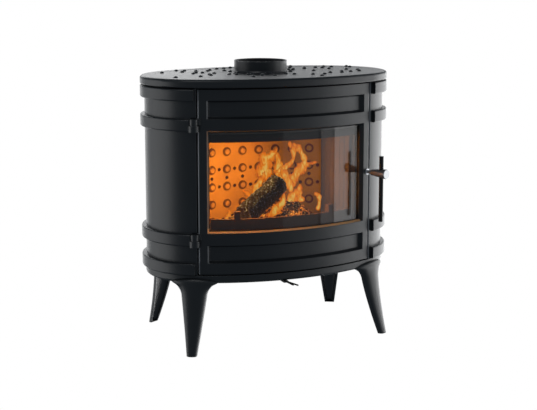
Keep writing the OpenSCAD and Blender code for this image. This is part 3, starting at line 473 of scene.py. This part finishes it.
log_side = LOG_ALONG.cross(Vector((0, 0, 1))).normalized()
log_up = log_side.cross(LOG_ALONG)
verts, faces = [], []
for i in range(ALONG_LOG + 1):
    t = i / ALONG_LOG
    burnt_end = min(1.0, min(t, 1 - t) * END_TAPER + END_SHARE)
    for k in range(ROUND_LOG):
        angle = 2 * math.pi * k / ROUND_LOG
        radius = bark_radius(t * LOG_LENGTH / BARK_CELL, angle) * burnt_end
        slant = SLANTED_END * math.cos(angle) * (1 if i == ALONG_LOG else 0)
        verts.append(LOG_START + LOG_ALONG * (t * (LOG_LENGTH - BURNT_OFF) + slant)
                     + (log_side * math.cos(angle) + log_up * math.sin(angle)) * radius)
for i in range(ALONG_LOG):
    for k in range(ROUND_LOG):
        a, b = i * ROUND_LOG + k, i * ROUND_LOG + (k + 1) % ROUND_LOG
        faces.append((a, b, b + ROUND_LOG, a + ROUND_LOG))
faces.append(tuple(range(ROUND_LOG))[::-1])
faces.append(tuple(ALONG_LOG * ROUND_LOG + k for k in range(ROUND_LOG)))

char = Finish("charred_wood", Roughness=0.30, Specular_IOR_Level=1.0, Emission_Strength=0.8)
to_crack = char.add("ShaderNodeTexVoronoi", "Distance", {"feature": "DISTANCE_TO_EDGE"},
                    {"Vector": char.place(), "Scale": 95.0})
crack = to_crack.step(0.0, 0.09, 1.0, 0.0)
# Pale blue specks: partly ash, partly painted glints of the room's light on the char.
pale_specks = char.noise(230.0, 3.0, 0.6)
heat = crack * char.noise(22.0, 2.0).step(0.60, 0.72)
char.set(
    Base_Color=char.colours(pale_specks, (0.53, (0.001, 0.001, 0.0012)), (0.58, (0.010, 0.011, 0.014)),
                            (0.64, (0.26, 0.38, 0.70))),
    Emission_Color=char.colours(heat, (0.0, (0.0, 0.0, 0.0)), (0.5, (0.5, 0.05, 0.0)),
                                (1.0, (1.0, 0.30, 0.04))))
char.bump(crack * -0.8 + pale_specks * 0.9, 0.0045)
charred_log = new_piece("firewood_log_charred", verts, faces, char)
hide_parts("firewood_log")
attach(charred_log, "root")

# ---- ember bed ------------------------------------------------------------------------------------
# The heap of glowing charcoal and ash that the log lies on: three low, flat-topped cones run
# together, with a rough skin, in place of the CAD's plain heap.
BED_Y, BED_Z = -0.008, 0.300
HEAPS = (    # middle x and y, radius of the foot and of the top, height
    (0.0, 0.0, 0.118, 0.096, 0.024),
    (0.062, 0.0, 0.104, 0.024, 0.070),
    (-0.068, -0.010, 0.100, 0.060, 0.031),
)
BED_MESH, BED_COLUMNS, BED_ROWS = 0.007, 26, 17
THINNEST, LOWEST = 0.0015, 0.001    # bed that is laid, and its skin above the hearth
SKIN, SKIN_HEIGHT = 60.0, 0.0035    # clouds for each metre, and metres


def bed_height(x, y):
    best = 0.0
    for middle_x, middle_y, foot, top, height in HEAPS:
        away = math.hypot(x - middle_x, y - middle_y)
        best = max(best, height * min(1.0, max(0.0, (foot - away) / (foot - top))))
    return best


verts, faces, numbers = [], [], {}
for i in range(-BED_COLUMNS, BED_COLUMNS + 1):
    for j in range(-BED_ROWS, BED_ROWS + 1):
        x, y = i * BED_MESH, j * BED_MESH
        height = bed_height(x, y)
        if height > THINNEST:
            numbers[i, j] = len(verts)
            rough = noise.noise(Vector((x, y, 0.3)) * SKIN) * SKIN_HEIGHT
            verts.append((x, y + BED_Y, BED_Z + max(LOWEST, height + rough)))
for i, j in numbers:
    corners = [numbers.get(c) for c in ((i, j), (i + 1, j), (i + 1, j + 1), (i, j + 1))]
    if None not in corners:
        faces.append(tuple(corners))

ember = Finish("embers", Roughness=0.88, Emission_Strength=2.0)
glow = ember.noise(48.0, 4.0, 0.7)
pale_specks = ember.noise(210.0, 3.0, 0.6)
ember.set(
    Base_Color=ember.colours(pale_specks, (0.40, (0.008, 0.006, 0.005)), (0.55, (0.06, 0.042, 0.030)),
                             (0.68, (0.60, 0.52, 0.42))),
    Emission_Color=ember.colours(glow, (0.50, (0.0, 0.0, 0.0)), (0.60, (0.50, 0.11, 0.006)),
                                 (0.72, (1.0, 0.46, 0.06))))
ember.bump(pale_specks, 0.002)
bed = new_piece("ember_bed_base", verts, faces, ember)
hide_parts("ember_bed")
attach(bed, "root")

# ---- loose embers ---------------------------------------------------------------------------------
# Broken lumps of charcoal, some of them glowing, strewn over the bed by a node tree: four kinds
# of lump, each turned and sized at random.
LUMP_KINDS = 4
STREWING = {"Density": 9000.0, "Smallest": 0.0032, "Largest": 0.0085, "Seed": 3}

random.seed(7)
kinds = bpy.data.collections.new("chunk_kinds")
for number in range(LUMP_KINDS):
    bpy.ops.mesh.primitive_ico_sphere_add(subdivisions=2, radius=1.0)
    lump = bpy.context.object
    stretch = Vector((random.uniform(0.8, 1.5), random.uniform(0.6, 1.0), random.uniform(0.5, 0.8)))
    for vertex in lump.data.vertices:
        knobbly = 1.0 + 0.35 * noise.noise(vertex.co * 1.3 + Vector((number * 9.0, 0, 0)))
        vertex.co = vertex.co * stretch * knobbly
    for collection in list(lump.users_collection):
        collection.objects.unlink(lump)
    kinds.objects.link(lump)


def strewing_tree(name, lumps, finish):
    """Node tree that strews a collection's lumps over a surface, with STREWING as its inputs."""
    tree = bpy.data.node_groups.new(name, "GeometryNodeTree")
    tree.interface.new_socket("Geometry", in_out="INPUT", socket_type="NodeSocketGeometry")
    for label, value in STREWING.items():
        kind = "NodeSocketInt" if isinstance(value, int) else "NodeSocketFloat"
        tree.interface.new_socket(label, in_out="INPUT", socket_type=kind)
    tree.interface.new_socket("Geometry", in_out="OUTPUT", socket_type="NodeSocketGeometry")
    nodes = Nodes(tree)
    surface = nodes.add("NodeGroupInput", "Geometry")
    points = nodes.add("GeometryNodeDistributePointsOnFaces", "Points", (), {
        "Mesh": surface, "Density": surface.beside("Density"), "Seed": surface.beside("Seed")})
    lump = nodes.add("GeometryNodeCollectionInfo", 0, (), {
        "Collection": lumps, "Separate Children": True, "Reset Children": True})
    size = nodes.add("FunctionNodeRandomValue", 1, (), {
        2: surface.beside("Smallest"), 3: surface.beside("Largest")})
    turn = nodes.add("FunctionNodeRandomValue", 0, {"data_type": "FLOAT_VECTOR"}, {1: (2 * math.pi,) * 3})
    strewn = nodes.add("GeometryNodeInstanceOnPoints", 0, (), {
        "Points": points, "Instance": lump, "Pick Instance": True, "Rotation": turn, "Scale": size})
    real = nodes.add("GeometryNodeRealizeInstances", 0, (), {0: strewn})
    painted = nodes.add("GeometryNodeSetMaterial", 0, (), {
        "Geometry": real, "Material": finish.material})
    nodes.plug(tree.nodes.new("NodeGroupOutput").inputs[0], painted)
    return tree


strewing = bed.modifiers.new("strewing", "NODES")
strewing.node_group = strewing_tree("strewn_chunks", kinds, ember)
for item in strewing.node_group.interface.items_tree:
    if item.name in STREWING:
        strewing[item.identifier] = STREWING[item.name]
mesh = bpy.data.meshes.new_from_object(bed.evaluated_get(bpy.context.evaluated_depsgraph_get()))
bed.modifiers.remove(strewing)
mesh.name = "ember_chunks"
mesh.materials.clear()
mesh.materials.append(ember.material)
loose = bpy.data.objects.new(mesh.name, mesh)
bpy.context.collection.objects.link(loose)
for lump in list(kinds.objects):
    bpy.data.objects.remove(lump, do_unlink=True)
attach(loose, "root")

# ---- flames ---------------------------------------------------------------------------------------
# Ribbons of fire that lick up from the log and the embers. Each follows a curve through a few
# points, fades at its edges and its tip, and is orange with paler veins.
FLAMES = (    # depth y, then x, z and half width along the curve, in millimetres
    (18, ((15, 428, 11), (2, 460, 21), (17, 488, 23), (31, 509, 11), (39, 524, 2))),
    (26, ((70, 412, 8), (53, 446, 13), (50, 472, 13), (44, 498, 7), (38, 518, 2))),
    (22, ((34, 448, 6), (64, 461, 7), (90, 478, 7), (97, 502, 7), (92, 520, 8), (82, 536, 3))),
    (30, ((78, 396, 7), (98, 426, 15), (124, 452, 15), (148, 467, 8), (176, 472, 2))),
    (34, ((136, 452, 8), (135, 480, 8), (124, 501, 8), (113, 517, 9), (89, 534, 3))),
    (10, ((86, 390, 7), (73, 423, 11), (62, 448, 10), (52, 466, 3))),
    (-30, ((55, 352, 12), (67, 379, 15), (84, 399, 10), (100, 418, 2))),
    (12, ((168, 330, 5), (177, 356, 6), (171, 375, 7), (151, 384, 2))),
    (-48, ((-14, 334, 11), (14, 357, 13), (34, 378, 10), (42, 404, 3))),
    (-12, ((-43, 384, 7), (-33, 407, 12), (-22, 435, 10), (-6, 462, 2))),
    (-20, ((-44, 386, 5), (-62, 401, 6), (-80, 413, 2))),
    (-55, ((-138, 340, 6), (-135, 356, 6), (-129, 368, 2))),
    (0, ((112, 360, 13), (101, 389, 14), (107, 414, 3))),
)
ACROSS_FLAME, UP_FLAME = 12, 40
FULLER, RIPPLED = 1.3, 0.22          # changes to the half width
WAVER_MM, CUPPED_MM = 5.0, 3.0       # changes to the depth

flame = Finish("flame", Base_Color=(0.0, 0.0, 0.0, 1.0), Specular_IOR_Level=0.0, Roughness=1.0,
               Emission_Strength=1.35)
across = flame.add("ShaderNodeSeparateXYZ", 0, (), {"Vector": flame.add("ShaderNodeTexCoord", "UV")})
rise = across.beside(1)
off_centre = across * 2.0 - 1.0
heart = (1.0 - off_centre * off_centre) * rise.step(0.0, 0.12, 0.35, 1.0) * rise.step(0.55, 1.0, 1.0, 0.45)
drawn_out = flame.add("ShaderNodeMapping", 0, (), {"Vector": flame.place(), "Scale": (75.0, 75.0, 30.0)})
wisps = flame.add("ShaderNodeTexNoise", "Fac", (), {
    "Vector": drawn_out, "Scale": 1.0, "Detail": 3.0, "Roughness": 0.6, "Distortion": 1.2})
body = heart * 0.85 + (wisps - 0.5) * 2.0
flame.set(
    Emission_Color=flame.colours(body, (0.20, (0.55, 0.07, 0.004)), (0.45, (0.92, 0.19, 0.006)),
                                 (0.75, (1.0, 0.33, 0.015)), (1.0, (1.0, 0.62, 0.12))),
    Alpha=body.step(0.12, 0.50) * 0.88)


def on_curve(points, t):
    """Place on a smooth curve through the points, t from 0 to 1."""
    at = t * (len(points) - 1)
    i = min(int(at), len(points) - 2)
    f = at - i
    p0, p1, p2, p3 = (Vector(points[min(max(i + k, 0), len(points) - 1)]) for k in (-1, 0, 1, 2))
    return 0.5 * (2 * p1 + (p2 - p0) * f + (2 * p0 - 5 * p1 + 4 * p2 - p3) * f * f
                  + (3 * p1 - p0 - 3 * p2 + p3) * f ** 3)


verts, faces, spots = [], [], []
for depth, points in FLAMES:
    first = len(verts)
    for j in range(UP_FLAME + 1):
        t = j / UP_FLAME
        here = on_curve(points, t)
        ahead = on_curve(points, min(1.0, t + 0.01)) - on_curve(points, max(0.0, t - 0.01))
        side = Vector((ahead.y, -ahead.x)).normalized() if ahead.xy.length else Vector((1.0, 0.0))
        half = max(0.4, here.z) * FULLER * (1.0 + RIPPLED * math.sin(t * 17.0 + depth))
        for i in range(ACROSS_FLAME + 1):
            u = 2 * i / ACROSS_FLAME - 1
            x, z = here.x + side.x * u * half, here.y + side.y * u * half
            y = depth + WAVER_MM * math.sin(t * 6.0 + depth) + CUPPED_MM * u * u
            verts.append((x / 1000, y / 1000, z / 1000))
            spots.append((i / ACROSS_FLAME, t))
    for j in range(UP_FLAME):
        for i in range(ACROSS_FLAME):
            a = first + j * (ACROSS_FLAME + 1) + i
            faces.append((a, a + 1, a + ACROSS_FLAME + 2, a + ACROSS_FLAME + 1))
flames = new_piece("flames", verts, faces, flame)
layer = flames.data.uv_layers.new(name="flame")
for loop in flames.data.loops:
    layer.data[loop.index].uv = spots[loop.vertex_index]
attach(flames, "root")

# ---- light from the fire --------------------------------------------------------------------------
# Three orange lamps among the flames light the firebox. They themselves are hidden from the
# camera, from mirror images and through the glass.
FIRE_LAMPS = (    # x, y, z and watts
    (-0.02, -0.02, 0.46, 2.4),
    (-0.13, -0.07, 0.42, 2.4),
    (0.12, -0.01, 0.42, 0.5),
)
FIRE_COLOUR, FIRE_RADIUS = (1.0, 0.42, 0.07), 0.04

for i, (*at, power) in enumerate(FIRE_LAMPS):
    lamp = bpy.data.lights.new("fire_light_%d" % i, "POINT")
    lamp.energy, lamp.color, lamp.shadow_soft_size = power, FIRE_COLOUR, FIRE_RADIUS
    holder = bpy.data.objects.new(lamp.name, lamp)
    holder.location = at
    holder.visible_camera = holder.visible_transmission = holder.visible_glossy = False
    bpy.context.collection.objects.link(holder)

# ---- studio ---------------------------------------------------------------------------------------
# Most softboxes, and the brightest, stand behind the stove and to its right, so that its front
# stays dark, as in the photo. Beyond them it is white for the camera and dim blue otherwise.
AIM = Vector((0.0, 0.0, 0.4))
SOFTBOXES = (    # name, azimuth from the front growing to the right, distance, height, size, radiance
    ("soft_end", 99.0, 3.0, -0.1, (2.3, 3.6), 2.4),
    ("soft_right", 141.0, 3.2, -0.3, (2.4, 2.6), 2.5),
    ("soft_silhouette", 178.0, 3.4, -0.2, (2.4, 2.4), 1.3),
    ("soft_above", 177.0, 3.4, 1.9, (1.9, 1.5), 2.3),
    ("soft_above_right", 146.0, 3.4, 1.9, (1.4, 1.5), 0.9),
    ("soft_left_rear", -155.0, 3.2, -0.2, (2.4, 2.4), 0.5),
    ("soft_left", -108.0, 3.2, 0.2, (3.0, 3.0), 0.75),
    ("soft_glass", 61.0, 3.0, 0.5, (1.1, 3.4), 1.1),
    ("soft_veil", 45.5, 3.0, 0.5, (0.45, 3.4), 0.35),
    ("soft_front", 28.0, 3.4, 0.5, (1.4, 3.4), 0.12),
    ("soft_high", -45.0, 2.0, 2.6, (1.0, 1.0), 1.2),
)

for name, azimuth, distance, height, (wide, tall), radiance in SOFTBOXES:
    lamp = bpy.data.lights.new(name, "AREA")
    lamp.shape, lamp.size, lamp.size_y = "RECTANGLE", wide, tall
    lamp.energy = radiance * math.pi * wide * tall
    holder = bpy.data.objects.new(name, lamp)
    turn = math.radians(azimuth)
    holder.location = (distance * math.sin(turn), -distance * math.cos(turn), height)
    holder.rotation_euler = (AIM - holder.location).to_track_quat("-Z", "Y").to_euler()
    holder.visible_camera = False
    bpy.context.collection.objects.link(holder)

world = bpy.data.worlds.new("studio")
bpy.context.scene.world = world
world.use_nodes = True
world.node_tree.nodes.clear()
beyond = Nodes(world.node_tree)
dim = beyond.add("ShaderNodeBackground", 0, (), {"Color": (0.085, 0.102, 0.12, 1.0)})
white = beyond.add("ShaderNodeBackground", 0, (), {"Color": (1.0, 1.0, 1.0, 1.0)})
seen = beyond.add("ShaderNodeLightPath", "Is Camera Ray")
backdrop = beyond.add("ShaderNodeMixShader", 0, (), {0: seen, 1: dim, 2: white})
beyond.plug(world.node_tree.nodes.new("ShaderNodeOutputWorld").inputs[0], backdrop)

# ---- camera ---------------------------------------------------------------------------------------
# A long lens in front and to the left, a little above the stove and looking down on it, fitted to
# the photo's outlines.
CAMERA_AT = (-1.2905, -3.1908, 1.0345)
AZIMUTH, PITCH = math.radians(22.173), math.radians(9.063)
LENS, SENSOR = 82.0, 36.0
SHIFT = (-0.0009, -0.08)

camera = bpy.data.cameras.new("camera")
camera.sensor_width, camera.lens = SENSOR, LENS
camera.shift_x, camera.shift_y = SHIFT
camera.clip_end = 50.0
holder = bpy.data.objects.new("camera", camera)
holder.location = CAMERA_AT
holder.rotation_euler = (math.pi / 2 - PITCH, 0.0, -AZIMUTH)
bpy.context.collection.objects.link(holder)
bpy.context.scene.camera = holder
bpy.context.scene.view_settings.view_transform = "Standard"
